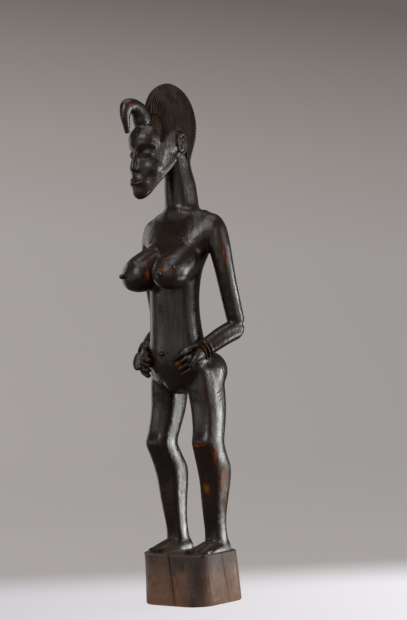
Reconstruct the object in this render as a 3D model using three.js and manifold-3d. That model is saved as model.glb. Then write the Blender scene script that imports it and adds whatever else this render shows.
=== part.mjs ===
// A standing female figure carved from one block of dark wood, with the low rounded block that it stands on.
// Millimetres, +Z up. The origin is the middle of the flat underside. The figure faces -Y, and its left hand is at +X.
// The knees are bent, the hands lie on the sides of the belly, and a fluted crest of hair runs from brow to nape.
import * as THREE from 'three';
import { mergeVertices } from 'three/addons/utils/BufferGeometryUtils.js';
import Module from 'manifold-3d';

const wasm = await Module();
wasm.setup();

// Driving dimensions
const plinth = {
  width: 145, depth: 137, height: 91, corner: 31, edge: 3,
  middle: -7, underside: 4.5, // where its underside lies in the coordinates of the body
  slope: 12, // how far the top of the back face stands forward of its foot
};
const splits = [
  // drying cracks in the plinth: where each starts and ends on the outside, and how deep it runs in
  { foot: [14, -75.5], top: [2, -75.5], width: 2.2, deep: 26 },
  { foot: [72.5, 3], top: [72.5, -14], width: 2, deep: 18 },
];
const needles = { shortest: 0.8, flattest: 0.06 }; // faces finer than this are evened out where forms meet
const wood = { color: 0x2a201b, roughness: 0.38, metalness: 0 };

// Body, from the crotch to the root of the neck: level ovals, each a centre and two half widths
const bodyStations = [
  { at: [0, -14, 372], half: [30, 30] },
  { at: [0, -14, 392], half: [56, 44] },
  { at: [0, -17, 420], half: [64, 50] },
  { at: [0, -21, 450], half: [60, 48] },
  { at: [0, -25, 485], half: [52, 43] },
  { at: [0, -27, 530], half: [48, 41] },
  { at: [0, -25, 570], half: [49, 41] },
  { at: [0, -18, 605], half: [52, 43] },
  { at: [0, -9, 636], half: [64, 45] },
  { at: [0, 2, 670], half: [80, 40] },
  { at: [0, 9, 696], half: [82, 32] },
  { at: [0, 12, 707], half: [72, 28] },
  { at: [0, 12, 715], half: [60, 26] },
  { at: [0, 9, 723], half: [44, 25] },
];
const neckStations = [
  { at: [0, -6, 655], half: [52, 40] },
  { at: [0, -2, 688], half: [54, 36] },
  { at: [0, 4, 706], half: [42, 34] },
  { at: [0, 6, 720], half: [31, 33] },
  { at: [0, 5, 740], half: [28, 33] },
  { at: [0, 3, 765], half: [26, 32] },
  { at: [0, -1, 790], half: [22, 29] },
  { at: [0, -4, 815], half: [21, 27] },
  { at: [0, -8, 840], half: [21, 26] },
];
const nape = [
  { at: [0, 31, 832], half: [7, 9] },
  { at: [0, 25.5, 806], half: [6, 7] },
  { at: [0, 29.5, 780], half: [5.5, 6] },
  { at: [0, 40, 755], half: [5, 6] },
  { at: [0, 42, 732], half: [5, 6] },
  { at: [0, 38, 712], half: [4, 5] },
];
const thighAndCalf = [
  { at: [38, 6, 424], half: [28, 36] },
  { at: [43, 4, 392], half: [29, 36] },
  { at: [48, -1, 350], half: [28, 34] },
  { at: [53, -9, 314], half: [26, 31] },
  { at: [55, -15, 292], half: [25.5, 31] },
  { at: [53, -8, 272], half: [26, 31] },
  { at: [51, 3, 246], half: [27, 32] },
  { at: [50, 6, 222], half: [25, 30] },
  { at: [48.5, 5, 190], half: [22, 26] },
  { at: [46.5, 5, 158], half: [19, 22] },
  { at: [45.5, 7, 134], half: [18, 20] },
  { at: [45.5, 9, 112], half: [19, 21] },
  { at: [45.5, 10, 100], half: [18, 20] },
];
const upperArm = [
  { at: [52, 9, 696], half: [18, 20] },
  { at: [70, 9, 678], half: [21, 22] },
  { at: [78.5, 10, 652], half: [20, 21.5] },
  { at: [84, 14, 615], half: [17.5, 19.5] },
  { at: [86.5, 20, 580], half: [16, 18.5] },
  { at: [88, 28, 545], half: [15.5, 18] },
  { at: [89.5, 35, 515], half: [15, 17.5] },
  { at: [90, 40, 499], half: [15, 16] },
];
const forearm = [
  { at: [92, 52, 494], half: [12, 11] },
  { at: [89, 36, 494], half: [15, 18] },
  { at: [82, 9, 484], half: [15, 19] },
  { at: [72, -14, 469], half: [14, 18] },
  { at: [62, -26, 459], half: [12, 16] },
];
const palm = [
  { at: [62, -15, 463], half: [10, 13] },
  { at: [58, -26, 453], half: [10, 18] },
  { at: [52, -41, 441], half: [9, 22] },
  { at: [46, -53, 431], half: [7, 20] },
];
const finger = {
  count: 4, pitch: 9.2, half: [5, 4.1], knuckle: [52, -41, 443], tip: [42, -73, 421],
  fanned: [0.25, -0.3, 1], // the way from one finger to the next
  arch: [2.5, -2.5, 0], // how far the middle of a finger stands off the belly
};
const breast = [
  { at: [30, -15, 632], half: [27, 28] },
  { at: [33, -45, 616], half: [32, 33] },
  { at: [36, -76, 600], half: [33, 33] },
  { at: [39, -97, 595], half: [26, 26] },
  { at: [42, -112, 595], half: [13, 13] },
];
const nipple = { at: [43, -116, 595], radius: 4.5, long: 9 };
const buttock = { at: [34, 20, 420], half: [33, 38, 36] };
const seat = { at: [0, 3, 430], half: [56, 45, 52] };
const foot = [
  { at: [44, 34, 98], half: [15, 17] },
  { at: [44, 24, 101], half: [19, 23] },
  { at: [45, 4, 102], half: [20, 24] },
  { at: [47, -24, 98], half: [22, 22] },
  { at: [48.5, -50, 93], half: [24, 16] },
  { at: [49, -62, 92], half: [23, 13] },
];
const toe = {
  count: 5, pitch: 9, half: [4.6, 9], back: [49, -40, 101], tip: [50, -77, 94],
  longest: 1, stepBack: 3.2, // which toe reaches furthest, and how far its neighbour stays behind it
  closed: 0.85, // how much nearer together the toes lie at their roots
};

// Head: level ovals that narrow towards the face
const headStations = [
  { at: [0, -108, 731], half: [9, 8] },
  { at: [0, -104, 743], half: [16, 17], narrow: 0.1 },
  { at: [0, -97, 760], half: [22, 25], narrow: 0.25 },
  { at: [0, -86, 780], half: [28, 36], narrow: 0.3 },
  { at: [0, -75, 800], half: [32, 46], narrow: 0.3 },
  { at: [0, -66, 820], half: [34.5, 53], narrow: 0.25 },
  { at: [0, -58, 840], half: [35, 57], narrow: 0.2 },
  { at: [0, -49, 860], half: [33, 55], narrow: 0.1 },
  { at: [0, -42, 880], half: [27, 45] },
  { at: [0, -40, 895], half: [18, 28] },
];
const crest = {
  pole: [-50, 838], // middle of the fan, [y, z], on both sides of the head
  halfWidth: 34, // from the middle plane to the pole
  flutes: 32, depth: 1.6, rimDepth: 0.35, // how deep the grooves are on the sides, and their share of it at the rim
  edgeSoftness: 0.7,
  rim: [[-84, 852], [-74, 876], [-76, 897], [-72, 915], [-60, 933], [-38, 944], [-13, 948], [12, 942], [31, 929],
    [43, 912], [51, 897], [52.5, 876], [49, 853], [41, 832], [33, 811], [14, 800], [-20, 808], [-60, 822]],
};
const forelock = [
  { at: [0, -82, 848], half: [9, 12] },
  { at: [0, -88, 860], half: [14, 17] },
  { at: [0, -93, 874], half: [16, 20] },
  { at: [0, -102, 888], half: [14, 17] },
  { at: [0, -120, 897], half: [12, 13] },
  { at: [0, -135, 893], half: [11, 13] },
  { at: [0, -140, 878], half: [8.5, 10] },
  { at: [0, -138, 862], half: [6.5, 7] },
  { at: [0, -135, 846], half: [4.5, 4.5] },
];
const nose = [
  { at: [0, -112, 820], half: [4.5, 5] },
  { at: [0, -116, 804], half: [5.5, 6] },
  { at: [0, -122, 788], half: [8, 7] },
  { at: [0, -121, 780], half: [8, 6] },
];
const eye = { at: [16, -107, 812], half: [10.5, 6, 7.5], turn: 28 };
const brow = [
  { at: [4, -117, 826], half: [3, 3] },
  { at: [14, -112, 831], half: [3.6, 3.4] },
  { at: [27, -95, 828], half: [3, 3] },
];
const lips = { at: [0, -117, 760], half: [12, 8, 3.4], apart: 6.5 };
const ear = { at: [35, -32, 831], ring: 15, tube: 3.2, tall: 1.15, wide: 0.75, lobe: 5 };
const navel = { at: [0, -68, 458], half: [11, 3, 2.6] };

// A solid from a three.js geometry: only the places of its corners are kept, and its faces are turned outwards.
function solidOf(geometry) {
  const plain = new THREE.BufferGeometry();
  plain.setAttribute('position', geometry.getAttribute('position').clone());
  if (geometry.index) plain.setIndex(geometry.index.clone());
  const merged = mergeVertices(plain, 1e-3);
  const places = merged.getAttribute('position').array;
  const corners = new Uint32Array(dropSlivers(merged.index.array));
  if (enclosed(places, corners) < 0) corners.reverse();
  return new wasm.Manifold(new wasm.Mesh({ numProp: 3, vertProperties: places, triVerts: corners }));
}

function dropSlivers(index) {
  const kept = [];
  for (let i = 0; i < index.length; i += 3) {
    const [a, b, c] = index.slice(i, i + 3);
    if (a !== b && b !== c && c !== a) kept.push(a, b, c);
  }
  return kept;
}

function enclosed(places, corners) {
  const [a, b, c] = [new THREE.Vector3(), new THREE.Vector3(), new THREE.Vector3()];
  let volume = 0;
  for (let i = 0; i < corners.length; i += 3) {
    a.fromArray(places, 3 * corners[i]);
    b.fromArray(places, 3 * corners[i + 1]);
    c.fromArray(places, 3 * corners[i + 2]);
    volume += a.dot(b.cross(c)) / 6;
  }
  return volume;
}

// The distances along a form at which its rows lie: close together over the rounded ends.
function rowPlaces(length, caps, between, capRows) {
  const places = [];
  for (let i = 0; i < capRows; i++) {
    places.push(caps[0] * (1 - Math.cos((i / capRows) * Math.PI / 2)));
  }
  for (let i = 0; i <= between; i++) {
    places.push(caps[0] + (length - caps[0] - caps[1]) * (i / between));
  }
  for (let i = capRows - 1; i >= 0; i--) {
    places.push(length - caps[1] * (1 - Math.cos((i / capRows) * Math.PI / 2)));
  }
  return places;
}

function roundedEnd(fromEnd, cap) {
  if (fromEnd >= cap) return 1;
  return Math.sqrt(Math.max(0, 1 - (1 - fromEnd / cap) ** 2));
}

// A carved form: a sphere whose rows are spread along a smooth line through the stations and fitted to their ovals.
// Level forms keep every row horizontal. The others turn with the line, and `across` is the way their first half
// width runs. `caps` are the lengths over which the two ends round off.
function carvedForm(stations, settings = {}) {
  const { sides = 16, rows = 12, caps = [8, 8], capRows = 2, level = false, across = [1, 0, 0] } = settings;
  const line = new THREE.CatmullRomCurve3(stations.map((s) => new THREE.Vector3(...s.at)), false, 'centripetal');
  const halves = new THREE.CatmullRomCurve3(
    stations.map((s) => new THREE.Vector3(s.half[0], s.half[1], s.narrow ?? 0)), false, 'catmullrom', 0.5);
  const length = line.getLength();
  const places = rowPlaces(length, caps, rows, capRows);
  const sphere = new THREE.SphereGeometry(1, sides, places.length - 1);
  const position = sphere.getAttribute('position');
  const wanted = new THREE.Vector3(...across);
  places.forEach((place, row) => {
    const share = Math.min(1, place / length);
    const t = line.getUtoTmapping(share);
    const middle = line.getPoint(t);
    const half = halves.getPoint(t);
    const along = level ? new THREE.Vector3(0, 0, -1) : line.getTangent(t);
    const first = wanted.clone().addScaledVector(along, -wanted.dot(along)).normalize();
    const second = new THREE.Vector3().crossVectors(along, first);
    if (level) second.set(0, 1, 0);
    const end = roundedEnd(place, caps[0]) * roundedEnd(length - place, caps[1]);
    for (let side = 0; side <= sides; side++) {
      const angle = (side / sides) * 2 * Math.PI;
      const pinch = 1 + half.z * Math.sin(angle);
      const spot = middle.clone()
        .addScaledVector(first, half.x * end * pinch * Math.cos(angle))
        .addScaledVector(second, half.y * end * Math.sin(angle));
      position.setXYZ(row * (sides + 1) + side, spot.x, spot.y, spot.z);
    }
  });
  return sphere;
}

function ball(at, half, { turn = 0, sides = 14, rows = 10 } = {}) {
  return new THREE.SphereGeometry(1, sides, rows)
    .scale(...half)
    .rotateZ(THREE.MathUtils.degToRad(turn))
    .translate(...at);
}

function mirrored(geometry) {
  return geometry.clone().scale(-1, 1, 1);
}

// The plinth: a block with round corners and softened edges. Its back face leans forward.
function plinthBlock() {
  const x = plinth.width / 2 - plinth.edge;
  const y = plinth.depth / 2 - plinth.edge;
  const r = plinth.corner - plinth.edge;
  const outline = new THREE.Shape();
  outline.moveTo(x - r, -y);
  outline.absarc(x - r, -y + r, r, -Math.PI / 2, 0);
  outline.absarc(x - r, y - r, r, 0, Math.PI / 2);
  outline.absarc(-x + r, y - r, r, Math.PI / 2, Math.PI);
  outline.absarc(-x + r, -y + r, r, Math.PI, 1.5 * Math.PI);
  const block = new THREE.ExtrudeGeometry(outline, {
    depth: plinth.height - 2 * plinth.edge, curveSegments: 7,
    bevelEnabled: true, bevelThickness: plinth.edge, bevelSize: plinth.edge, bevelSegments: 2,
  }).translate(0, 0, plinth.edge);
  const position = block.getAttribute('position');
  for (let i = 0; i < position.count; i++) {
    const fromFront = 0.5 + position.getY(i) / plinth.depth;
    const forward = plinth.slope * fromFront * (position.getZ(i) / plinth.height);
    position.setY(i, position.getY(i) + plinth.middle - forward);
  }
  return block.translate(0, 0, plinth.underside);
}

// A drying crack: a thin wedge, wide at the surface, that runs from the underside to the top.
function crackWedge({ foot: [fx, fy], top: [tx, ty], width, deep }) {
  const wedge = new THREE.CylinderGeometry(width, width, 1, 3);
  const position = wedge.getAttribute('position');
  const place = (x, y, level) => {
    const out = new THREE.Vector2(x, y).normalize();
    const sideways = new THREE.Vector2(-out.y, out.x);
    return [
      new THREE.Vector3(x + 2 * out.x + sideways.x * width / 2, y + 2 * out.y + sideways.y * width / 2, level),
      new THREE.Vector3(x + 2 * out.x - sideways.x * width / 2, y + 2 * out.y - sideways.y * width / 2, level),
      new THREE.Vector3(x - deep * out.x, y - deep * out.y, level),
    ];
  };
  const low = place(fx, fy, plinth.underside - 1);
  const high = place(tx, ty, plinth.underside + plinth.height + 1);
  const mid = (list) => list.reduce((sum, p) => sum.add(p), new THREE.Vector3()).divideScalar(3);
  for (let i = 0; i < position.count; i++) {
    const isTop = position.getY(i) > 0;
    const list = isTop ? high : low;
    const onAxis = Math.hypot(position.getX(i), position.getZ(i)) < 1e-6;
    const turn = Math.round(Math.atan2(position.getX(i), position.getZ(i)) / (2 * Math.PI / 3) + 3) % 3;
    const spot = onAxis ? mid(list.map((p) => p.clone())) : list[turn];
    position.setXYZ(i, spot.x, spot.y, spot.z);
  }
  return wedge;
}

// The crest of hair: a flattened ball with its poles at the temples, so that its meridians fan out to the rim.
function crestFan() {
  const meridians = crest.flutes * 2;
  const shares = [0, 0.45, 0.75, 0.93, 1];
  const rows = 2 * (shares.length - 1);
  const rim = new THREE.CatmullRomCurve3(crest.rim.map(([y, z]) => new THREE.Vector3(0, y, z)), true, 'centripetal');
  const fan = new THREE.SphereGeometry(1, meridians, rows);
  const position = fan.getAttribute('position');
  for (let row = 0; row <= rows; row++) {
    const side = row < rows / 2 ? 1 : -1;
    const share = shares[Math.min(row, rows - row)];
    for (let m = 0; m <= meridians; m++) {
      const edge = rim.getPointAt((m % meridians) / meridians);
      const flute = m % 2 && share > 0 ? crest.depth * Math.min(1, 4 * (1 - share) + crest.rimDepth) : 0;
      const reach = share - (share === 1 ? flute / Math.hypot(edge.y - crest.pole[0], edge.z - crest.pole[1]) : 0);
      const y = crest.pole[0] + (edge.y - crest.pole[0]) * reach;
      const z = crest.pole[1] + (edge.z - crest.pole[1]) * reach;
      const x = Math.max(0, crest.halfWidth * (1 - share ** 2) ** crest.edgeSoftness - flute);
      position.setXYZ(row * (meridians + 1) + m, side * x, y, z);
    }
  }
  return fan;
}

function handForms() {
  const forms = [carvedForm(forearm, { sides: 12, rows: 5, caps: [12, 6], across: [1, 0, 0] })];
  forms.push(carvedForm(palm, { sides: 10, rows: 3, caps: [6, 6], across: [1, 0.9, 0] }));
  const knuckle = new THREE.Vector3(...finger.knuckle);
  const tip = new THREE.Vector3(...finger.tip);
  const spread = new THREE.Vector3(...finger.fanned).normalize();
  for (let i = 0; i < finger.count; i++) {
    const off = (i - (finger.count - 1) / 2) * finger.pitch;
    const start = knuckle.clone().addScaledVector(spread, off);
    const end = tip.clone().addScaledVector(spread, off);
    const bend = start.clone().lerp(end, 0.5).add(new THREE.Vector3(...finger.arch));
    forms.push(carvedForm([start, bend, end].map((p) => ({ at: p.toArray(), half: finger.half })),
      { sides: 6, rows: 2, caps: [3, 4], across: [0.6, 0.6, 0.3] }));
  }
  return forms;
}

function footForms() {
  const forms = [carvedForm(foot, { sides: 12, rows: 5, caps: [12, 8] })];
  const back = new THREE.Vector3(...toe.back);
  const tip = new THREE.Vector3(...toe.tip);
  for (let i = 0; i < toe.count; i++) {
    const off = (i - (toe.count - 1) / 2) * toe.pitch;
    const shorter = toe.stepBack * Math.abs(i - toe.longest) ** 1.3;
    const start = back.clone().add(new THREE.Vector3(off * toe.closed, 0, 0));
    const end = tip.clone().add(new THREE.Vector3(off, shorter, 0));
    forms.push(carvedForm([start, end].map((p) => ({ at: p.toArray(), half: toe.half })),
      { sides: 6, rows: 2, caps: [4, 5] }));
  }
  return forms;
}

function breastForms() {
  const bud = new THREE.CapsuleGeometry(nipple.radius, nipple.long, 2, 8).rotateX(Math.PI / 2).translate(...nipple.at);
  return [carvedForm(breast, { sides: 12, rows: 5, caps: [10, 9] }), bud];
}

function faceForms() {
  const browRidge = carvedForm(brow, { sides: 6, rows: 3, caps: [3, 3], across: [0, 0, 1] });
  const eyeBall = ball(eye.at, eye.half, { turn: eye.turn, sides: 10, rows: 6 });
  const ring = new THREE.TorusGeometry(ear.ring, ear.tube, 6, 14)
    .scale(ear.wide, ear.tall, 1).rotateY(Math.PI / 2).rotateX(Math.PI / 2).translate(...ear.at);
  const lobe = ball([ear.at[0] - 1, ear.at[1] - 3, ear.at[2] - 2], [5, ear.lobe, ear.lobe + 3], { sides: 8, rows: 5 });
  return [browRidge, eyeBall, ring, lobe];
}

function wholeFigure() {
  const single = [
    plinthBlock(),
    carvedForm(bodyStations, { sides: 22, rows: 14, caps: [10, 6], level: true }),
    carvedForm(neckStations, { sides: 16, rows: 5, caps: [4, 4], level: true }),
    carvedForm(nape, { sides: 8, rows: 5, caps: [3, 6] }),
    ball(seat.at, seat.half, { sides: 16, rows: 10 }),
    carvedForm(headStations, { sides: 16, rows: 10, caps: [6, 14], level: true }),
    carvedForm(forelock, { sides: 10, rows: 9, caps: [6, 3] }),
    carvedForm(nose, { sides: 8, rows: 4, caps: [4, 4] }),
    ball([lips.at[0], lips.at[1], lips.at[2] + lips.apart / 2], lips.half, { sides: 10, rows: 6 }),
    ball([lips.at[0], lips.at[1] + 2, lips.at[2] - lips.apart / 2], lips.half, { sides: 10, rows: 6 }),
    crestFan(),
  ];
  const paired = [
    carvedForm(thighAndCalf, { sides: 12, rows: 13, caps: [14, 6], level: true }),
    carvedForm(upperArm, { sides: 12, rows: 7, caps: [16, 10] }),
    ...handForms(),
    ...footForms(),
    ...breastForms(),
    ...faceForms(),
    ball(buttock.at, buttock.half, { sides: 12, rows: 9 }),
  ];
  const solids = [...single, ...paired, ...paired.map(mirrored)].map(solidOf);
  let figure = solids.reduce((sum, piece) => sum.add(piece));
  const cuts = [ball(navel.at, navel.half, { sides: 10, rows: 6 }), ...splits.map(crackWedge)];
  for (const cut of cuts) figure = figure.subtract(solidOf(cut));
  return figure;
}

// The faces of the outer skin alone: a pocket shut in between two forms is solid wood.
function outerSkin(corners, count) {
  const group = Int32Array.from({ length: count }, (_, i) => i);
  const rootOf = (i) => {
    while (group[i] !== i) {
      group[i] = group[group[i]];
      i = group[i];
    }
    return i;
  };
  for (let i = 0; i < corners.length; i += 3) {
    group[rootOf(corners[i])] = rootOf(corners[i + 1]);
    group[rootOf(corners[i + 1])] = rootOf(corners[i + 2]);
  }
  const sizes = new Map();
  for (const corner of corners) sizes.set(rootOf(corner), (sizes.get(rootOf(corner)) ?? 0) + 1);
  const largest = [...sizes].reduce((best, entry) => (entry[1] > best[1] ? entry : best))[0];
  return corners.filter((_, i) => rootOf(corners[i - (i % 3)]) === largest);
}

// The skin with its needles taken out. Edges shorter than `shortest` are closed up, and the long edge of a face
// flatter than `flattest` is turned to the other diagonal. Neither step may fold a face over or open the skin.
function evenedSkin(places, corners, { shortest, flattest }) {
  const point = (i) => new THREE.Vector3().fromArray(places, 3 * i);
  const faces = [];
  for (let i = 0; i < corners.length; i += 3) faces.push([corners[i], corners[i + 1], corners[i + 2]]);
  const around = Array.from({ length: places.length / 3 }, () => new Set());
  faces.forEach((face, f) => face.forEach((v) => around[v].add(f)));
  const normal = ([a, b, c]) => {
    const origin = point(a);
    return point(b).sub(origin).cross(point(c).sub(origin));
  };
  const neighbours = (v) => {
    const found = new Set();
    for (const f of around[v]) for (const w of faces[f]) if (w !== v) found.add(w);
    return found;
  };
  const upright = (before, after) => after.length() > 1e-5 && before.dot(after) > 0.2 * before.length() * after.length();

  const closeUp = (keep, gone, spot) => {
    const shared = [...neighbours(keep)].filter((v) => neighbours(gone).has(v));
    if (shared.length !== 2) return false;
    const moved = [...new Set([...around[keep], ...around[gone]])]
      .filter((f) => !(faces[f].includes(keep) && faces[f].includes(gone)));
    const before = moved.map((f) => normal(faces[f]));
    const old = [point(keep), point(gone)];
    spot.toArray(places, 3 * keep);
    spot.toArray(places, 3 * gone);
    const fine = moved.every((f, i) => before[i].length() < 1e-4 || upright(before[i], normal(faces[f])));
    if (!fine) {
      old[0].toArray(places, 3 * keep);
      old[1].toArray(places, 3 * gone);
      return false;
    }
    for (const f of [...around[gone]]) {
      if (faces[f].includes(keep)) {
        faces[f].forEach((v) => around[v].delete(f));
        faces[f] = null;
      } else {
        faces[f] = faces[f].map((v) => (v === gone ? keep : v));
        around[keep].add(f);
      }
    }
    around[gone].clear();
    return true;
  };

  const turnEdge = (f) => {
    const face = faces[f];
    const lengths = face.map((v, k) => point(v).distanceTo(point(face[(k + 1) % 3])));
    const k = lengths.indexOf(Math.max(...lengths));
    const [a, b, c] = [face[k], face[(k + 1) % 3], face[(k + 2) % 3]];
    const other = [...around[a]].find((g) => g !== f && faces[g].includes(b));
    if (other === undefined) return false;
    const d = faces[other].find((v) => v !== a && v !== b);
    if (d === c || neighbours(c).has(d)) return false;
    const facing = normal(faces[other]);
    if (!upright(facing, normal([a, d, c])) || !upright(facing, normal([d, b, c]))) return false;
    for (const g of [f, other]) faces[g].forEach((v) => around[v].delete(g));
    faces[f] = [a, d, c];
    faces[other] = [d, b, c];
    for (const g of [f, other]) faces[g].forEach((v) => around[v].add(g));
    return true;
  };

  for (let round = 0; round < 6; round++) {
    let changes = 0;
    for (let f = 0; f < faces.length; f++) {
      for (let k = 0; k < 3 && faces[f]; k++) {
        const [a, b] = [faces[f][k], faces[f][(k + 1) % 3]];
        const [pa, pb] = [point(a), point(b)];
        if (pa.distanceTo(pb) >= shortest) continue;
        const options = [pa.clone().lerp(pb, 0.5), pa, pb];
        if (options.some((spot) => closeUp(a, b, spot))) changes++;
      }
    }
    for (let f = 0; f < faces.length; f++) {
      if (!faces[f]) continue;
      const lengths = faces[f].map((v, k) => point(v).distanceTo(point(faces[f][(k + 1) % 3])));
      if (normal(faces[f]).length() / Math.max(...lengths) < flattest && turnEdge(f)) changes++;
    }
    if (!changes) break;
  }
  return new Uint32Array(faces.filter(Boolean).flat());
}

function geometryOf(solid) {
  const mesh = solid.getMesh();
  const places = new Float32Array(mesh.numVert * 3);
  for (let i = 0; i < mesh.numVert; i++) {
    places.set(mesh.vertProperties.subarray(i * mesh.numProp, i * mesh.numProp + 3), i * 3);
  }
  const skin = evenedSkin(places, outerSkin(mesh.triVerts, mesh.numVert), needles);
  const geometry = new THREE.BufferGeometry();
  geometry.setAttribute('position', new THREE.BufferAttribute(places, 3));
  geometry.setIndex(new THREE.BufferAttribute(skin, 1));
  const figure = geometry.toNonIndexed().translate(0, -plinth.middle, -plinth.underside);
  const closed = mergeVertices(figure, 1e-4);
  closed.computeVertexNormals();
  return closed;
}

const statue = new THREE.Group();
const carvedFigure = new THREE.Mesh(geometryOf(wholeFigure()), new THREE.MeshStandardMaterial(wood));
carvedFigure.name = 'carved_figure';
statue.add(carvedFigure);

export default statue;
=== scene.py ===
import math

import bpy
import numpy as np
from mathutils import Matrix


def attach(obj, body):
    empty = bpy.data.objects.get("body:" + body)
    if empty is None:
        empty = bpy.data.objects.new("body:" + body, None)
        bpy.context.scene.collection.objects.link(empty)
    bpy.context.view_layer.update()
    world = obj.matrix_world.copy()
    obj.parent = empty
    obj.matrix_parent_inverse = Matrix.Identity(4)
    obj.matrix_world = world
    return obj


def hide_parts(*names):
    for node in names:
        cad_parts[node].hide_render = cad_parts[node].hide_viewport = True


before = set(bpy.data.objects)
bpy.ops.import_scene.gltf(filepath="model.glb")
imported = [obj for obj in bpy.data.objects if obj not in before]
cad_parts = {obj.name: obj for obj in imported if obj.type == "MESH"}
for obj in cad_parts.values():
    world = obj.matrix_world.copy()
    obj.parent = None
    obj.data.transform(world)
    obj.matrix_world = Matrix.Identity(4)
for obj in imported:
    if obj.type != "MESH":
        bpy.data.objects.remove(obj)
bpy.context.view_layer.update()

import openvdb
from mathutils import Euler, Matrix, Vector

# A standing woman carved from one block of dark wood. Forms are laid out in millimetres and shifted into the
# part's frame at the end: the figure faces -Y, its left hand is at +X, +Z is up.
mm = 0.001
toFrame = (0, 7, -4.5)
scene = bpy.context.scene
carving = {
    "voxel": 0.9,  # how finely the wood is cut
    "low": (-112, -152, 0), "span": (224, 222, 956),  # the block of wood
    "cubes": (16, 8, 4),  # sides of the cubes that it is searched in, in voxels
    "batch": 16000,  # cubes cut at a time
    "faces": 122000,  # triangles kept for the body once the cutting is done
    "seed": 11,
}

print("forms")

# Body, level ovals: x, y, z, half width, half depth
bodyStations = [
    (0, -12, 384, 24, 22), (0, -14, 398, 42, 34), (0, -18, 420, 57, 44), (0, -21, 450, 59, 47),
    (0, -25, 485, 52, 43), (0, -27, 530, 48, 41), (0, -25, 570, 49, 41), (0, -18, 605, 52, 43),
    (0, -9, 636, 64, 45), (0, 0, 668, 80, 41), (0, 6, 692, 82, 35), (0, 8, 702, 71, 33),
    (0, 7, 711, 54, 31), (0, 6, 719, 34, 29),
]
neckStations = [
    (0, 4, 655, 30, 22), (0, 5, 688, 34, 28), (0, 6, 706, 33, 33), (0, 6, 720, 30, 33), (0, 5, 740, 28, 33),
    (0, 3, 765, 26, 32), (0, -1, 790, 22, 29), (0, -4, 815, 21, 27), (0, -8, 840, 21, 26),
]
napeRidge = [
    (0, 31, 832, 7, 9), (0, 25.5, 806, 6, 7), (0, 29.5, 780, 5.5, 6), (0, 40, 755, 5, 6), (0, 42, 732, 5, 6),
    (0, 38, 712, 4, 5),
]
thighAndCalf = [
    (38, -1, 432, 26, 37), (43, 0, 392, 27, 36), (48, -1, 350, 26, 32), (53, -9, 314, 24.5, 29),
    (55, -15, 292, 24, 29.5), (53, -8, 272, 24.5, 29), (51, 3, 246, 25.5, 30), (50, 6, 222, 23.5, 28),
    (48.5, 5, 190, 20.5, 24.5), (46.5, 5, 158, 17.8, 20.7), (45.5, 7, 134, 17, 19), (45.5, 9, 112, 18, 20),
    (45.5, 10, 100, 17, 19),
]
upperArm = [
    (52, 9, 696, 18, 20), (70, 9, 678, 21, 22), (78.5, 10, 652, 20, 21.5), (84, 14, 615, 17.5, 19.5),
    (86.5, 20, 580, 16, 18.5), (88, 28, 545, 15.5, 18), (89.5, 35, 515, 15, 17.5), (90, 40, 499, 15, 16),
]
forearm = [
    (92, 52, 494, 12, 11), (89, 36, 493, 15, 18), (82, 8, 482, 15, 18.5), (74, -15, 469, 14, 17.5),
    (66, -35, 457, 12.5, 16),
]
palm = [
    (67, -33, 453, 11, 17), (62, -42, 445, 11, 22), (55, -49.5, 438, 8.5, 24), (47, -55, 433, 5.5, 22),
]
finger = {
    "count": 4, "pitch": 10.3, "half": (5.5, 4.6), "knuckle": (63, -45, 447), "tip": (32, -65, 428),
    "fanned": (-0.42, -0.3, 1), "arch": (3.4, -6.0, 0),
}
breast = [
    (30, -15, 632, 27, 28), (33, -45, 616, 32, 33), (36, -76, 600, 33, 33), (39, -97, 595, 26, 26),
    (42, -112, 595, 13, 13),
]
foot = [
    (44, 34, 97, 16, 16), (44, 24, 98, 21.5, 20), (45, 4, 98, 23, 20), (47, -18, 96, 23, 17),
    (48.5, -42, 94.5, 22.5, 9), (49, -66, 94, 22, 4.5),
]
toe = {
    "count": 5, "pitch": 8.8, "half": (4.3, 4.4), "back": (47, -13, 115), "tip": (49, -69, 97.5),
    "stepBack": 4.6,
}
forelock = [
    (0, -82, 848, 9, 12), (0, -88, 860, 14, 17), (0, -93, 874, 16, 20), (0, -102, 888, 14, 17),
    (0, -120, 897, 12, 13), (0, -135, 893, 11, 13), (0, -140, 878, 8.5, 10), (0, -138, 862, 6.5, 7),
    (0, -135, 846, 4.5, 4.5),
]
# Head: the last number is how much the oval narrows towards the face
headStations = [
    (0, -108, 731, 9, 8, 0), (0, -104, 743, 16, 17, 0.1), (0, -97, 760, 22, 25, 0.25),
    (0, -86, 780, 28, 36, 0.3), (0, -75, 800, 32, 46, 0.3), (0, -66, 820, 34.5, 53, 0.25),
    (0, -58, 840, 35, 57, 0.2), (0, -49, 860, 33, 55, 0.1), (0, -42, 880, 27, 45, 0),
    (0, -40, 895, 18, 28, 0),
]


# A smooth line through rows of numbers. The gaps say how far apart neighbouring rows count.
def smoothRows(rows, gaps, steps=10):
    rows = np.array(rows, float)
    full = np.vstack([2 * rows[0] - rows[1], rows, 2 * rows[-1] - rows[-2]])
    gaps = np.concatenate([gaps[:1], gaps, gaps[-1:]])
    t = np.linspace(0, 1, steps, endpoint=False)[:, None]
    spans = []
    for i in range(len(rows) - 1):
        a, b, c, d = full[i:i + 4]
        g, h, k = gaps[i:i + 3]
        leave = ((b - a) / g - (c - a) / (g + h) + (c - b) / h) * h
        arrive = ((c - b) / h - (d - b) / (h + k) + (d - c) / k) * h
        spans.append(b + leave * t + (3 * (c - b) - 2 * leave - arrive) * t**2
                     + (2 * (b - c) + leave + arrive) * t**3)
    return np.vstack(spans + [rows[-1:]])


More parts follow.
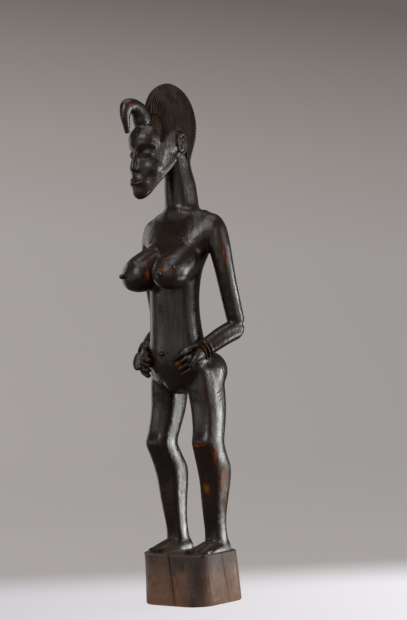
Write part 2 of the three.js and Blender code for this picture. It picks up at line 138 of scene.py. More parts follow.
def stationLine(stations):
    rows = np.array([tuple(s) + (0,) * (6 - len(s)) for s in stations], float)
    gaps = np.sqrt(np.linalg.norm(np.diff(rows[:, :3], axis=0), axis=1))
    return smoothRows(rows[:, :3], gaps), smoothRows(rows[:, 3:], np.ones(len(gaps)))


# How far points lie from an oval whose three scaled offsets are u, v and w. A power above 2 squares it off.
def ovalDistance(u, v, w, hu, hv, hw, power=2):
    u, v, w = np.abs(u), np.abs(v), np.abs(w)
    if power == 2:
        outward = np.sqrt(u * u + v * v + w * w)
        slope = np.sqrt((u / hu) ** 2 + (v / hv) ** 2 + (w / hw) ** 2)
        return outward * (outward - 1) / np.maximum(slope, 1e-5)
    outward = np.maximum(u**power + v**power + w**power, 1e-9) ** (1 / power)
    u, v, w = ((side / outward) ** (power - 1) for side in (u, v, w))
    return (outward - 1) / np.maximum(np.sqrt((u / hu) ** 2 + (v / hv) ** 2 + (w / hw) ** 2), 1e-5)


# Every form is a box that holds it and a function that gives the distance to its skin.
def levelForm(stations, caps=(8, 8), power=2):
    at, half = stationLine(stations)
    if at[0, 2] > at[-1, 2]:
        at, half, caps = at[::-1], half[::-1], caps[::-1]
    low, high = at[0, 2] + caps[0], at[-1, 2] - caps[1]

    def distance(p):
        cx, cy, hx, hy, narrow = (np.interp(p[:, 2], at[:, 2], c) for c in (*at[:, :2].T, *half.T))
        v = (p[:, 1] - cy) / hy
        hx = hx * (1 + narrow * np.clip(v, -1, 1))
        below = np.maximum(0, low - p[:, 2]) / caps[0]
        above = np.maximum(0, p[:, 2] - high) / caps[1]
        cap = np.where(below > 0, caps[0], caps[1])
        return ovalDistance((p[:, 0] - cx) / hx, v, below + above, hx, hy, cap, power)

    reach = half[:, :2].max(1)[:, None] * (1, 1, 0.02)
    return (at - reach).min(0), (at + reach).max(0), distance


def turningForm(stations, caps=(8, 8), across=(1, 0, 0)):
    at, half = stationLine(stations)
    along = np.concatenate([[0], np.cumsum(np.linalg.norm(np.diff(at, axis=0), axis=1))])
    way = np.gradient(at, axis=0)
    way /= np.linalg.norm(way, axis=1)[:, None]
    first = np.array(across, float) - way * (way @ np.array(across, float))[:, None]
    first /= np.linalg.norm(first, axis=1)[:, None]
    second = np.cross(way, first)
    table = np.hstack([at, first, second, half[:, :2]])

    def distance(p):
        near = nearestRow(p, at)
        place = along[near] + ((p - at[near]) * way[near]).sum(1)
        row = np.column_stack([np.interp(place, along, column) for column in table.T])
        q = p - row[:, :3]
        hu, hv = row[:, 9], row[:, 10]
        u = (q * row[:, 3:6]).sum(1) / hu
        v = (q * row[:, 6:9]).sum(1) / hv
        early = np.maximum(0, caps[0] - place) / caps[0]
        late = np.maximum(0, place - along[-1] + caps[1]) / caps[1]
        return ovalDistance(u, v, early + late, hu, hv, np.where(early > 0, caps[0], caps[1]))

    reach = half[:, :2].max()
    return at.min(0) - reach, at.max(0) + reach, distance


# The row nearest to each point, a batch of points at a time to spare memory
def nearestRow(p, rows, batch=40000):
    found = np.empty(len(p), int)
    for i in range(0, len(p), batch):
        part = p[i:i + batch]
        found[i:i + batch] = ((rows**2).sum(1) - 2 * part @ rows.T).argmin(1)
    return found


def ball(at, half, turn=(0, 0, 0)):
    at, half = np.array(at, float), np.array(half, float)
    turned = np.array(Euler([math.radians(a) for a in turn]).to_matrix())

    def distance(p):
        u, v, w = (((p - at) @ turned) / half).T
        return ovalDistance(u, v, w, *half)

    return at - half.max(), at + half.max(), distance


# The plinth: a block with round corners and softened edges, whose back face leans forward
plinth = {
    "width": 148, "depth": 140, "height": 91, "corner": 38, "edge": 3, "middle": -7, "underside": 4.5,
    "slope": 12, "uneven": 0.5,
}


def plinthForm(s):
    def distance(p):
        up = (p[:, 2] - s["underside"]) / s["height"]
        lean = s["slope"] * np.clip(up, 0, 1)
        y = (p[:, 1] - s["middle"] + 0.5 * lean) / (1 - lean / s["depth"])
        wave = s["uneven"] * (np.sin(p[:, 0] / 17 + p[:, 2] / 31) + np.sin(p[:, 1] / 13 - p[:, 2] / 23))
        qx = np.abs(p[:, 0]) - s["width"] / 2 + s["corner"] - wave * 0.5
        qy = np.abs(y) - s["depth"] / 2 + s["corner"] - wave * 0.5
        side = np.hypot(np.maximum(qx, 0), np.maximum(qy, 0)) + np.minimum(np.maximum(qx, qy), 0)
        side += s["edge"] - s["corner"]
        top = np.abs(up - 0.5) * s["height"] - s["height"] / 2 + s["edge"]
        past = np.hypot(np.maximum(side, 0), np.maximum(top, 0))
        return past + np.minimum(np.maximum(side, top), 0) - s["edge"]

    half = np.array((s["width"] / 2, s["depth"] / 2 + s["slope"], s["height"] / 2))
    middle = np.array((0, s["middle"], s["underside"] + s["height"] / 2))
    return middle - half, middle + half, distance


figure = []


# Adds one form to the carving, or cuts it away. blend is how widely it runs into what is there, mm.
def carve(form, blend=1.0, cut=False, pair=False):
    figure.append({"form": form, "blend": blend, "cut": cut, "pair": pair})


carve(levelForm(bodyStations, (10, 9)), 1)
carve(ball((0, 6, 432), (54, 42, 48)), 8)  # hips
carve(levelForm(neckStations, (4, 4)), 12)
carve(turningForm(napeRidge, (3, 6)), 2)
carve(turningForm(upperArm, (16, 10)), 9, pair=True)
carve(ball((34, 20, 420), (33, 38, 36)), 7, pair=True)  # buttocks
carve(levelForm(thighAndCalf, (14, 6), 2.8), 9, pair=True)
carve(turningForm(breast, (10, 9)), 6, pair=True)

# Arms and hands: the hands lie on the sides of the belly with their fingers together
carve(turningForm(forearm, (12, 6)), 3, pair=True)
wristBand = {"around": [(70.5, -25, 462.5), (66, -36, 456)], "half": (14.5, 17.5), "ridges": 3, "rise": 2}
bandStart, bandEnd = (np.array(p) for p in wristBand["around"])
for i in range(wristBand["ridges"]):
    share = i / (wristBand["ridges"] - 1)
    middle = bandStart + (bandEnd - bandStart) * share
    step = (bandEnd - bandStart) / np.linalg.norm(bandEnd - bandStart) * 2.0
    size = tuple(h + wristBand["rise"] - share for h in wristBand["half"])
    ridge = [tuple(middle - step) + size, tuple(middle + step) + size]
    carve(turningForm(ridge, (1.9, 1.9)), 0.8, pair=True)
carve(turningForm(palm, (6, 6), (1, 0.9, 0)), 2.5, pair=True)
knuckle, fingerTip = np.array(finger["knuckle"], float), np.array(finger["tip"], float)
spread = np.array(finger["fanned"]) / np.linalg.norm(finger["fanned"])
for i in range(finger["count"]):
    off = spread * (i - (finger["count"] - 1) / 2) * finger["pitch"]
    bend = (knuckle + fingerTip) / 2 + off + finger["arch"]
    stations = [tuple(p) + finger["half"] for p in (knuckle + off, bend, fingerTip + off)]
    carve(turningForm(stations, (8, 4), (0.6, 0.6, 0.3)), 1, pair=True)
thumb = [(65, -38, 466, 5, 5), (52, -56, 461, 5, 4.8), (35, -67, 452, 4.4, 4.2)]
carve(turningForm(thumb, (4, 4)), 1, pair=True)

# Feet: five straight toes side by side
carve(turningForm(foot, (12, 8)), 5, pair=True)
for i in range(toe["count"]):
    off = (i - (toe["count"] - 1) / 2) * toe["pitch"]
    shorter = toe["stepBack"] * abs(i - 1) ** 1.3
    back = np.array(toe["back"]) + (off * 0.8, 0, -0.04 * off**2)
    tip = np.array(toe["tip"]) + (off, shorter, 0)
    carve(turningForm([tuple(back) + toe["half"], tuple(tip) + toe["half"]], (8, 4)), 0.6, pair=True)

# Head and face, by the canon of such masks: brows in one arch with a long slender nose, lowered lids
carve(levelForm(headStations, (6, 14)), 4)
carve(turningForm(forelock, (6, 3)), 2.5)
carve(ball((0, -93, 838), (29, 25, 24)), 8)  # forehead
carve(ball((17, -114, 811), (14, 11, 9), (0, 0, 32)), 6, cut=True, pair=True)  # eye hollows
carve(ball((17, -92, 786), (13, 14, 13)), 9, pair=True)  # cheeks
brow = [
    (2, -116.5, 824, 2.2, 3), (12, -113.5, 828.5, 2, 2.6), (22, -104.5, 827, 1.6, 2.2),
    (29, -93, 820, 1, 1.4),
]
carve(turningForm(brow, (3, 3), (0, 1, 0)), 4, pair=True)
nose = [
    (0, -112, 828, 3.4, 5), (0, -115.5, 812, 3.6, 6), (0, -120, 797, 4.4, 7), (0, -124, 785, 5.4, 6.6),
    (0, -123, 779, 5, 5),
]
carve(turningForm(nose, (4, 4)), 3)
carve(ball((6, -117.5, 782), (4.6, 6, 4.4)), 3, pair=True)  # nostrils
carve(ball((16.5, -103, 811), (11, 7, 7.4), (0, 0, 32)), 1.2, pair=True)  # eyeballs
upperLid = [(6, -107.5, 809, 1, 1.2), (11, -110.2, 813.4, 1.2, 1.4), (18, -108, 815, 1.2, 1.4)]
upperLid += [(26.5, -99, 810.5, 1, 1.2)]
lowerLid = [(6, -107.5, 809, 0.9, 1), (12, -109.6, 805.6, 1, 1.1), (19, -106.8, 805.4, 1, 1.1)]
lowerLid += [(26, -99.5, 809.6, 0.9, 1)]
for lid in (upperLid, lowerLid):
    carve(turningForm(lid, (2, 2), (0, 1, 0)), 1.2, pair=True)
gaze = [(9, -110.6, 808.6, 0.5, 0.6), (13, -111.4, 808.2, 0.7, 0.8), (19, -108.9, 808.4, 0.5, 0.6)]
carve(turningForm(gaze, (1, 1)), 0.5, cut=True, pair=True)
carve(ball((0, -110, 760), (18, 12, 12)), 6)  # round of the mouth
lip = {"width": 13.5, "upper": 763.4, "lower": 757.6, "front": -123.5}
for z, fullness, sag in ((lip["upper"], 2.6, 1.2), (lip["lower"], 3, -1.2)):
    end = (lip["width"], lip["front"] + 8, (lip["upper"] + lip["lower"]) / 2, 1.4, 1.4)
    mid = (lip["width"] * 0.55, lip["front"] + 2, z + sag * 0.3, fullness, fullness)
    middle = (0, lip["front"], z, fullness, fullness)
    row = [end, mid, middle, (-mid[0],) + mid[1:], (-end[0],) + end[1:]]
    carve(turningForm(row, (1.5, 1.5), (0, 0, 1)), 1)
carve(ball((0, -108, 742), (11, 9, 9)), 6)  # chin
jaw = [
    (33, -44, 806, 3.5, 5), (31, -58, 791, 3.5, 5), (26.5, -76, 774, 3.5, 5), (19, -92, 757, 3.5, 5),
    (10, -103, 742, 3, 4.5),
]
carve(turningForm(jaw, (6, 6)), 8, pair=True)

# Ears: a C-shaped rim with a curl inside it
ear = {"at": (35, -32, 831), "wide": 10.5, "tall": 17, "tube": 2.6}
carve(ball(ear["at"], (4, 11, 17)), 2, pair=True)
carve(ball((41, -33, 831), (4.5, 7.5, 13)), 1, cut=True, pair=True)
for size, start, end, tube in ((1, 200, -110, ear["tube"]), (0.45, 150, -60, 1.9)):
    rim = []
    for i in range(12):
        a = math.radians(start + (end - start) * i / 11)
        rim.append((ear["at"][0] + 3, ear["at"][1] + ear["wide"] * size * math.cos(a),
                    ear["at"][2] + ear["tall"] * size * math.sin(a), tube, tube))
    carve(turningForm(rim, (2, 2)), 0.8, pair=True)

# Belly: a small pointed bud for the navel, and a low mound below
carve(ball((0, -70, 454), (6, 5.5, 4)), 1.2)
carve(ball((0, -38, 400), (16, 14, 16)), 7)
nipple = [(43, -112, 595, 5, 5), (43, -119, 595, 4.6, 4.6), (43, -124, 595, 3.8, 3.8)]
carve(turningForm(nipple, (2, 3.5)), 1.5, pair=True)
carve(plinthForm(plinth), 1)


# Smooth joining and cutting of two distances
def joined(a, b, width):
    h = np.clip(0.5 + 0.5 * (a - b) / width, 0, 1)
    return a + (b - a) * h - width * h * (1 - h)


# Distance to the skin for blocks of points, each block an array of rows
def skinDistance(blocks, band):
    found = np.full(blocks.shape[:2], band + 40.0)
    folded = blocks * (-1, 1, 1)
    folded[..., 0] = np.abs(blocks[..., 0])
    sides = [(places, places[:, 0], places[:, -1]) for places in (blocks, folded)]
    slack = np.abs(blocks[0, -1] - blocks[0, 0]).max()
    for f in figure:
        low, high, distance = f["form"]
        places, first, last = sides[f["pair"]]
        margin = band + f["blend"] + (slack if f["pair"] else 0)
        near = np.all((last > low - margin) & (first < high + margin), axis=1)
        if not near.any():
            continue
        new = distance(places[near].reshape(-1, 3)).reshape(-1, blocks.shape[1])
        old = found[near]
        found[near] = -joined(-old, new, f["blend"]) if f["cut"] else joined(old, new, f["blend"])
    return found


# The numbers of every cell in a block, one row each
def allCells(counts):
    return np.stack(np.meshgrid(*(np.arange(n) for n in counts), indexing="ij"), -1).reshape(-1, 3)


print("carving")
# The block is cut in ever smaller cubes: only those that the skin passes through go on to the next size.
voxel = carving["voxel"]
lowCorner = np.array(carving["low"], float)
counts = np.ceil(np.array(carving["span"], float) / (voxel * carving["cubes"][0])).astype(int)
index = allCells(counts)
signs = np.ones(counts, np.float32)
halves = allCells((2, 2, 2))
finest = carving["cubes"][-1]
halfDiagonal = 0.87  # of a cube with a side of 1
for cells in carving["cubes"]:
    centres = lowCorner + (index[:, None] * cells + (cells - 1) / 2) * voxel
    rough = skinDistance(centres, voxel * cells)[:, 0]
    signs[tuple(index.T)] = np.sign(rough)
    index = index[np.abs(rough) < voxel * (cells * halfDiagonal + 0.6) + 0.1 * cells]
    if cells > finest:
        signs = signs.repeat(2, 0).repeat(2, 1).repeat(2, 2)
        index = (index[:, None] * 2 + halves).reshape(-1, 3)
farAway = voxel * 3
field = signs.repeat(finest, 0).repeat(finest, 1).repeat(finest, 2) * np.float32(farAway)
corner = allCells((finest,) * 3)
for start in range(0, len(index), carving["batch"]):
    cell = index[start:start + carving["batch"], None] * finest + corner
    near = skinDistance(lowCorner + cell * voxel, voxel * 2)
    field[tuple(cell.reshape(-1, 3).T)] = np.clip(near.ravel(), -farAway, farAway)
grid = openvdb.FloatGrid(farAway)
grid.copyFromArray(field)
points, _, quads = grid.convertToPolygons(isovalue=0.0, adaptivity=0.0)
points = (points * voxel + lowCorner + toFrame) * mm
del field
print("cut", len(quads), "faces")


# A mesh object from corners in metres and faces that all have the same number of sides
def plainMesh(name, corners, faces):
    corners = np.asarray(corners, np.float32)
    faces = np.asarray(faces, np.int32)
    mesh = bpy.data.meshes.new(name)
    mesh.vertices.add(len(corners))
    mesh.vertices.foreach_set("co", corners.ravel())
    mesh.loops.add(faces.size)
    mesh.loops.foreach_set("vertex_index", faces.ravel())
    mesh.polygons.add(len(faces))
    mesh.polygons.foreach_set("loop_start", np.arange(len(faces), dtype=np.int32) * faces.shape[1])
    mesh.update(calc_edges=True)
    mesh.validate()
    obj = bpy.data.objects.new(name, mesh)
    scene.collection.objects.link(obj)
    return obj


statue = plainMesh("statue", points, quads[:, ::-1])


# Leaves what the modifiers make as the object's own mesh
def settle(obj):
    bpy.context.view_layer.update()
    made = bpy.data.meshes.new_from_object(obj.evaluated_get(bpy.context.evaluated_depsgraph_get()))
    old = obj.data
    obj.modifiers.clear()
    obj.data = made
    bpy.data.meshes.remove(old)


thinned = statue.modifiers.new("thinned", "DECIMATE")
thinned.ratio = min(1, carving["faces"] / (2 * len(quads)))
settle(statue)
print("figure", len(statue.data.polygons))


def linear(code):
    parts = [int(code[i:i + 2], 16) / 255 for i in (1, 3, 5)]
    return tuple(c / 12.92 if c <= 0.04045 else ((c + 0.055) / 1.055) ** 2.4 for c in parts) + (1.0,)


# Adds a node with its settings and inputs: hex colours turned linear, a node by its first live output
def addNode(tree, kind, inputs=(), **settings):
    node = tree.nodes.new(kind)
    for name, value in settings.items():
        setattr(node, name, value)
    for name, value in inputs.items() if isinstance(inputs, dict) else enumerate(inputs):
        if isinstance(value, bpy.types.Node):
            value = next(socket for socket in value.outputs if socket.enabled)
        if isinstance(value, bpy.types.NodeSocket):
            tree.links.new(value, node.inputs[name])
        else:
            node.inputs[name].default_value = linear(value) if str(value).startswith("#") else value
    return node


def addLayer(mesh, name, values):
    layer = mesh.attributes.new(name, "FLOAT", "POINT")
    layer.data.foreach_set("value", np.asarray(values, np.float32))


print("crest")
# The crest of hair fans from the hairline on each temple to the rim over the middle of the head. Each row
# pairs a place on the hairline with one on the rim: share of the strands, y, z on the head, y, z on the rim.
crest = {
    "fan": [
        (0.00, -103, 861, -82, 866), (0.07, -100, 853, -77, 883), (0.14, -92, 841, -75, 899),
        (0.22, -81, 831, -71, 916), (0.33, -76, 832, -58, 934), (0.44, -69, 839, -36, 944.5),
        (0.54, -60, 847, -12, 948), (0.63, -50, 853, 13, 941.5), (0.71, -38, 856, 32, 928),
        (0.79, -26, 854, 45, 909), (0.86, -17, 847, 52, 884), (0.92, -11, 836, 50.5, 857),
        (0.96, -6, 822, 42, 832), (1.00, 2, 806, 31, 809),
    ],
    "pole": (-50, 838), "halfWidth": 34, "softness": 0.7,
    "strands": 58, "perStrand": 5, "rows": 34,
    "depth": 2.2, "plait": 8.5, "plaitDepth": 0.3, "proud": 1.4, "rooted": 4,
}


def headHalf(y, z):
    at, half = stationLine(headStations)
    cy, hx, hy, narrow = (np.interp(z, at[:, 2], c) for c in (at[:, 1], *half.T))
    v = np.clip((y - cy) / hy, -1, 1)
    top = np.clip((z - 881) / 14, 0, 1)
    return hx * (1 + narrow * v) * np.sqrt(np.maximum(0, 1 - v * v - top * top))


fan = np.array(crest["fan"], float)
fanLine = smoothRows(fan, np.ones(len(fan) - 1), 24)
rimAngles = np.unwrap(np.arctan2(fanLine[:, 4] - crest["pole"][1], fanLine[:, 3] - crest["pole"][0]))
rimReach = np.hypot(fanLine[:, 3] - crest["pole"][0], fanLine[:, 4] - crest["pole"][1])
columns = crest["strands"] * crest["perStrand"] + 1
rimRun = np.concatenate([[0], np.cumsum(np.hypot(*np.diff(fanLine[:, 3:5], axis=0).T))])
evenly = np.linspace(0, rimRun[-1], columns)  # strands keep one pitch along the rim
hy, hz, ry, rz = (np.interp(evenly, rimRun, c) for c in fanLine[:, 1:].T)
reachRows = 1 - (1 - np.linspace(0, 1, crest["rows"])) ** 1.35
y = hy[:, None] + (ry - hy)[:, None] * reachRows
z = hz[:, None] + (rz - hz)[:, None] * reachRows
angle = np.arctan2(z - crest["pole"][1], y - crest["pole"][0])
angle = np.where(angle < -1.2, angle + 2 * math.pi, angle)
share = np.hypot(y - crest["pole"][0], z - crest["pole"][1])
share /= np.interp(angle, rimAngles[::-1], rimReach[::-1])
blade = crest["halfWidth"] * np.maximum(0, 1 - np.minimum(share, 1) ** 2) ** crest["softness"]
skin = headHalf(y, z) + crest["proud"]
x = joined(-blade, -skin, 5) * -1
x[:, -1] = 0
x = np.where(skin < crest["proud"] + 0.01, blade, x)
root = np.stack([np.maximum(0, x[:, 0] - crest["rooted"]), hy + 1.0, hz + 1.0], -1)[:, None]
heart = np.stack([hy * 0, hy * 0.7 + crest["pole"][0] * 0.3, hz * 0.7 + crest["pole"][1] * 0.3], -1)[:, None]
side = np.concatenate([root, np.stack([x, y, z], -1)], 1)
ring = np.concatenate([heart, side, (side * (-1, 1, 1))[:, -2::-1]], 1)
around = ring.shape[1]
faces = []
for c in range(columns - 1):
    for k in range(around):
        n = (k + 1) % around
        faces.append((c * around + k, c * around + n, (c + 1) * around + n, (c + 1) * around + k))
corners = np.concatenate([ring.reshape(-1, 3), ring[:1].mean(1), ring[-1:].mean(1)])
ends = (len(corners) - 2, len(corners) - 1)
for k in range(0, around, 2):  # the ends are closed two edges at a time, so every face has four sides
    n, m = (k + 1) % around, (k + 2) % around
    faces.append((ends[0], m, n, k))
    last = (columns - 1) * around
    faces.append((ends[1], last + k, last + n, last + m))
hair = plainMesh("hair", (corners + toFrame) * mm, faces)
shown = np.concatenate([[0, 0], np.ones(crest["rows"]), np.ones(crest["rows"] - 1), [0]])
reach = np.concatenate([[0, 0], reachRows, reachRows[-2::-1], [0]])
length = np.hypot(ry - hy, rz - hz)[:, None] * reach
for name, values in (("strand", np.repeat(np.linspace(0, crest["strands"], columns), around)),
                     ("reach", np.tile(reach, columns)), ("shown", np.tile(shown, columns)),
                     ("run", length.ravel())):
    addLayer(hair.data, name, np.concatenate([values, [0, 0]]))


# A new tree with named inputs for its sizes, and the sockets that give them
def newTree(name, sizes, more=()):
    tree = bpy.data.node_groups.new(name, "GeometryNodeTree")
    kinds = {"Geometry": "Geometry", **dict.fromkeys(sizes, "Float"), **dict(more), "Material": "Material"}
    for label, kind in kinds.items():
        socket = tree.interface.new_socket(label, in_out="INPUT", socket_type="NodeSocket" + kind)
        if label in sizes:
            socket.default_value = sizes[label]
    tree.interface.new_socket("Geometry", in_out="OUTPUT", socket_type="NodeSocketGeometry")
    return tree, addNode(tree, "NodeGroupInput").outputs


def endTree(tree, geometry, given):
    whole = addNode(tree, "GeometryNodeRealizeInstances", [geometry])
    dressed = addNode(tree, "GeometryNodeSetMaterial", {"Geometry": whole, "Material": given["Material"]})
    addNode(tree, "NodeGroupOutput", [dressed])


# How far a place on a strand is pushed out. Each row names its result, what is done, and what with.
strandSums = [
    ("acrossStrands", "MULTIPLY", "strand", math.pi), ("wave", "SINE", "acrossStrands"),
    ("hump", "ABSOLUTE", "wave"), ("ridge", "POWER", "hump", 0.7),
    ("number", "FLOOR", "strand"), ("odd", "FLOORED_MODULO", "number", 2.0),
    ("shift", "MULTIPLY", "odd", math.pi), ("spin", "MULTIPLY", "run", 2 * math.pi),
    ("turns", "DIVIDE", "spin", "Plait Length"), ("phase", "ADD", "turns", "shift"),
    ("twist", "SINE", "phase"), ("plait", "MULTIPLY", "twist", "ridge"),
    ("aboveMiddle", "SUBTRACT", "ridge", 0.75), ("ridgeUp", "MULTIPLY", "aboveMiddle", "Ridge Height"),
    ("plaitUp", "MULTIPLY", "plait", "Plait Height"), ("height", "ADD", "ridgeUp", "plaitUp"),
    ("fromRoot", "MULTIPLY", "reach", 9.0), ("early", "SMOOTH_MIN", "fromRoot", 1.0, 0.3),
    ("left", "SUBTRACT", 1.0, "reach"), ("toTip", "MULTIPLY", "left", 14.0),
    ("late", "SMOOTH_MIN", "toTip", 1.0, 0.3), ("bothEnds", "MULTIPLY", "early", "late"),
    ("outside", "MULTIPLY", "height", "shown"), ("faded", "MULTIPLY", "outside", "bothEnds"),
    ("growth", "MULTIPLY_ADD", "reach", 0.6, 0.4), ("grown", "MULTIPLY", "faded", "growth"),
    ("push", "MULTIPLY", "grown", mm),
]


# Strands: rounded ridges with grooves between them, notched across like tight plaits
def strandTree(sizes):
    tree, given = newTree("plaitedStrands", sizes)
    known = {name: given[name] for name in sizes}
    for name in ("strand", "reach", "run", "shown"):
        known[name] = addNode(tree, "GeometryNodeInputNamedAttribute", {"Name": name}, data_type="FLOAT")
    for name, operation, *parts in strandSums:
        parts = [known.get(part, part) for part in parts]
        known[name] = addNode(tree, "ShaderNodeMath", parts, operation=operation)
    normal = addNode(tree, "GeometryNodeInputNormal")
    push = addNode(tree, "ShaderNodeVectorMath", {0: normal, "Scale": known["push"]}, operation="SCALE")
    moved = addNode(tree, "GeometryNodeSetPosition", {"Geometry": given["Geometry"], "Offset": push})
    endTree(tree, moved, given)
    return tree


# Scars: a lens-shaped nick on every point, laid along the way that the point holds
def scarTree(sizes):
    tree, given = newTree("scarStrokes", sizes, {"Seed": "Int"})
    lens = addNode(tree, "GeometryNodeMeshIcoSphere", {"Radius": 1.0, "Subdivisions": 3})
    turned = addNode(tree, "GeometryNodeInputNamedAttribute", {"Name": "turned"}, data_type="FLOAT_VECTOR")
    length = addNode(tree, "GeometryNodeInputNamedAttribute", {"Name": "length"}, data_type="FLOAT")
    uneven = addNode(tree, "FunctionNodeRandomValue", {2: 0.55, 3: 0.72, "Seed": given["Seed"]},
                     data_type="FLOAT")
    half = addNode(tree, "ShaderNodeMath", [length, uneven], operation="MULTIPLY")
    size = addNode(tree, "ShaderNodeCombineXYZ", [half, given["Half Width"], given["Depth"]])
    size = addNode(tree, "ShaderNodeVectorMath", {0: size, "Scale": mm}, operation="SCALE")
    points = addNode(tree, "GeometryNodeMeshToPoints", [given["Geometry"]])
    placed = addNode(tree, "GeometryNodeInstanceOnPoints",
                     {"Points": points, "Instance": lens, "Rotation": turned, "Scale": size})
    endTree(tree, placed, given)
    return tree


wood = bpy.data.materials.new("handRubbedHardwood")
wood.use_nodes = True


# Runs a node tree on an object, its inputs set by the sockets' identifiers
def growWith(obj, tree, values):
    modifier = obj.modifiers.new(tree.name, "NODES")
    modifier.node_group = tree
    for item in tree.interface.items_tree:
        if item.item_type == "SOCKET" and item.in_out == "INPUT" and item.name in values:
            modifier[item.identifier] = values[item.name]
    settle(obj)


plaits = {
    "Ridge Height": crest["depth"], "Plait Length": crest["plait"], "Plait Height": crest["plaitDepth"],
}
growWith(hair, strandTree(plaits), plaits | {"Material": wood})


def combine(obj, other, how):
    modifier = obj.modifiers.new(how.lower(), "BOOLEAN")
    modifier.operation = how
    modifier.object = other
    modifier.solver = "MANIFOLD"
    settle(obj)
    bpy.data.objects.remove(other)


combine(statue, hair, "UNION")
print("with crest", len(statue.data.polygons))

# Drying cracks in the plinth: thin wedges that wander a little on their way up
cracks = [
    {"foot": (14, -75.5), "top": (2, -75.5), "width": 5.0, "deep": 24},
    {"foot": (72.5, 3), "top": (72.5, -14), "width": 3.2, "deep": 18},
    {"foot": (-40, 62), "top": (-34, 50), "width": 1.2, "deep": 14},
]
chance = np.random.default_rng(carving["seed"])
for crack in cracks:
    levels = np.linspace(plinth["underside"] - 1, plinth["underside"] + plinth["height"] + 1, 15)
    wander = np.cumsum(chance.normal(0, 0.35, len(levels)))
    rings = []
    for level, share, stray in zip(levels, np.linspace(0, 1, len(levels)), wander - wander.mean()):
        middle = Vector(crack["foot"]).lerp(Vector(crack["top"]), share)
        out = middle.normalized()
        aside = Vector((-out.y, out.x))
        half = crack["width"] * (0.5 + 0.15 * math.sin(9 * share + crack["width"]))
        for corner in (middle + out * 3 + aside * (stray + half), middle + out * 3 + aside * (stray - half),
                       middle - out * crack["deep"] + aside * stray * 0.4):
            rings.append((corner.x, corner.y, level))
    ringCount = len(levels)
    faces = [(3 * i + k, 3 * i + (k + 1) % 3, 3 * i + 3 + (k + 1) % 3, 3 * i + 3 + k)
             for i in range(ringCount - 1) for k in range(3)]
    ends = [(2, 1, 0), tuple(3 * ringCount - 3 + k for k in range(3))]
    wedge = plainMesh("wedge", (np.array(rings) + toFrame) * mm, [f[:3] for f in faces] + [
        (f[0], f[2], f[3]) for f in faces] + ends)
    combine(statue, wedge, "DIFFERENCE")

# Scars: groups of short nicks in the usual places, each group a row of strokes on the skin nearest to `at`.
# `way` is the strokes' angle from level, and `step` leads from one to the next, along and up the skin, mm.
scars = [
    {"at": (0, -71, 535), "count": 3, "step": (0, 5), "way": 4, "length": 12},
    {"at": (49, -26, 533), "count": 3, "step": (1, 5), "way": 12, "length": 11, "pair": True},
    {"at": (74, 5, 376), "count": 3, "step": (1, 7), "way": -28, "length": 13, "pair": True},
    {"at": (42, -37, 658), "count": 3, "step": (3.4, 1), "way": 70, "length": 7, "pair": True},
    {"at": (13, -72, 454), "count": 1, "step": (0, 0), "way": 2, "length": 9, "pair": True},
    {"at": (0, -72, 464), "count": 1, "step": (0, 0), "way": 90, "length": 7},
    {"at": (0, -71, 444), "count": 1, "step": (0, 0), "way": 90, "length": 8},
    {"at": (27, -96, 786), "count": 3, "step": (0, 4.2), "way": 8, "length": 10, "pair": True},
    {"at": (35, -58, 810), "count": 3, "step": (4.6, 0), "way": 68, "length": 8, "pair": True},
    {"at": (0, -119, 846), "count": 3, "step": (4.5, 0), "way": 90, "length": 8},
    {"at": (38, 10, 668), "count": 3, "step": (0, 5), "way": 10, "length": 12, "pair": True},
]
spots, turns, lengths = [], [], []
for group in scars:
    for side in (1, -1) if group.get("pair") else (1,):
        start = (Vector(group["at"]) + Vector(toFrame)) * mm
        start.x *= side
        _, start, outward, _ = statue.closest_point_on_mesh(start)
        level = Vector((0, 0, 1)).cross(outward).normalized()
        rise = outward.cross(level)
        for i in range(group["count"]):
            along, climb = (v * (i - (group["count"] - 1) / 2) * mm for v in group["step"])
            aim = start + level * along * side + rise * climb
            _, spot, outward, _ = statue.closest_point_on_mesh(aim)
            level = Vector((0, 0, 1)).cross(outward).normalized()
            a = math.radians(group["way"]) * side
            way = level * math.cos(a) + outward.cross(level) * math.sin(a)
            turns.append(Matrix((way, outward.cross(way), outward)).transposed().to_euler())
            spots.append(spot)
            lengths.append(group["length"])
points = bpy.data.meshes.new("scars")
points.from_pydata([tuple(v) for v in spots], [], [])
ways = points.attributes.new("turned", "FLOAT_VECTOR", "POINT")
ways.data.foreach_set("vector", np.ravel(turns).astype(np.float32))
addLayer(points, "length", lengths)
nicks = bpy.data.objects.new("scars", points)
scene.collection.objects.link(nicks)
strokes = {"Half Width": 1.2, "Depth": 1.1}
growWith(nicks, scarTree(strokes), strokes | {"Seed": carving["seed"], "Material": wood})
combine(statue, nicks, "DIFFERENCE")
print("with scars", len(statue.data.polygons))


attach(statue, "root")
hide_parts("carved_figure")

print("stage")
camera = {
    "azimuth": 40, "distance": 3000, "height": 420, "yaw": 0.6686, "pitch": 2.128, "roll": -2.5,
    "lens": 95.34,
}
turn = math.radians(camera["azimuth"])
yaw, pitch, roll = (math.radians(camera[k]) for k in ("yaw", "pitch", "roll"))
ahead = Vector((-math.sin(turn), math.cos(turn), 0))
right = Vector((math.cos(turn), math.sin(turn), 0))
ahead = ahead * math.cos(yaw) + right * math.sin(yaw)
right = ahead.cross(Vector((0, 0, 1)))
ahead = ahead * math.cos(pitch) + Vector((0, 0, math.sin(pitch)))
up = right.cross(ahead)
right, up = right * math.cos(roll) + up * math.sin(roll), up * math.cos(roll) - right * math.sin(roll)
spot = Vector((math.sin(turn) * camera["distance"], -math.cos(turn) * camera["distance"], camera["height"]))
lens = bpy.data.cameras.new("camera")
lens.lens = camera["lens"]
lens.sensor_width = 36
viewer = bpy.data.objects.new("camera", lens)
